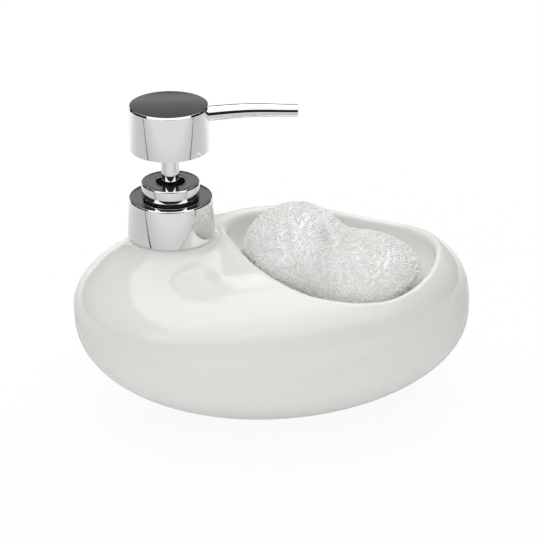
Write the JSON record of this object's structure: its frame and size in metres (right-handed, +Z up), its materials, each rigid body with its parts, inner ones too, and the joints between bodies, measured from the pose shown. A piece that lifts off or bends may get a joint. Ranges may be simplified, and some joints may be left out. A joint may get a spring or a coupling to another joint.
{
  "type": "soap dispenser",
  "caption": "Pebble-shaped glazed ceramic soap dispenser with a chrome lotion pump and a side recess that holds a round mesh scourer.",
  "frame": {"origin": "middle of the dispenser's bounding box, on the surface that it stands on", "axes": "+X from the pump towards the recess, +Z up, +Y to the back as the picture sees it"},
  "size_m": [0.16, 0.1206, 0.1236],
  "materials": {
    "white_glaze": "glossy white glaze, faintly pinholed",
    "chrome": "bright chrome plate",
    "white_plastic": "moulded white plastic",
    "natural_plastic": "milky natural plastic",
    "black_plastic": "moulded black plastic",
    "seal_rubber": "grey sealing rubber",
    "spring_steel": "drawn stainless steel",
    "scourer_mesh": "knitted plastic yarn with a slight sparkle"
  },
  "bodies": {
    "root": {"ceramic_body": "white_glaze"},
    "bush": {"neck_bush": "white_plastic", "bush_seal": "seal_rubber"},
    "pump": {"pump_housing": "natural_plastic", "ball_cage": "white_plastic", "dip_tube": "natural_plastic", "chaplet": "black_plastic", "ring_shell": "chrome", "neck_gasket": "seal_rubber", "return_spring": "spring_steel"},
    "collar": {"collar_shell": "chrome", "collar_insert": "white_plastic"},
    "plunger": {"piston_seal": "white_plastic", "poppet": "white_plastic"},
    "head": {"stem": "white_plastic", "stem_sleeve": "chrome", "head_core": "white_plastic", "head_shell": "chrome", "nozzle_tube": "chrome", "nozzle_liner": "white_plastic"},
    "ball": {"inlet_ball": "spring_steel"},
    "scourer": {"scourer": "scourer_mesh"}
  },
  "joints": [
    {"name": "pump_lift", "type": "slide", "parent": "root", "child": "bush", "axis": [0, 0, 1], "range_m": [0, 0.075]},
    {"name": "closure_rise", "type": "slide", "parent": "bush", "child": "pump", "axis": [0, 0, 1], "range_m": [0, 0.00636]},
    {"name": "collar_turn", "type": "hinge", "parent": "pump", "child": "collar", "pos_m": [-0.04, 0, 0.0774], "axis": [0, 0, 1], "range_deg": [0, 540]},
    {"name": "head_press", "type": "slide", "parent": "pump", "child": "plunger", "axis": [0, 0, -1], "range_m": [0, 0.0125], "stiffness_N_per_m": 800, "springref_m": -0.008, "deforming": ["return_spring"]},
    {"name": "head_swivel", "type": "hinge", "parent": "plunger", "child": "head", "pos_m": [-0.04, 0, 0.1147], "axis": [0, 0, 1], "continuous": true},
    {"name": "inlet_ball_lift", "type": "slide", "parent": "pump", "child": "ball", "axis": [0, 0, 1], "range_m": [0, 0.0017]},
    {"name": "scourer_lift", "type": "slide", "parent": "root", "child": "scourer", "axis": [0.5592, 0, 0.829], "range_m": [0, 0.06]}
  ],
  "couplings": [
    {"joint": "closure_rise", "follows": "collar_turn", "m_per_rad": 0.00067323}
  ]
}
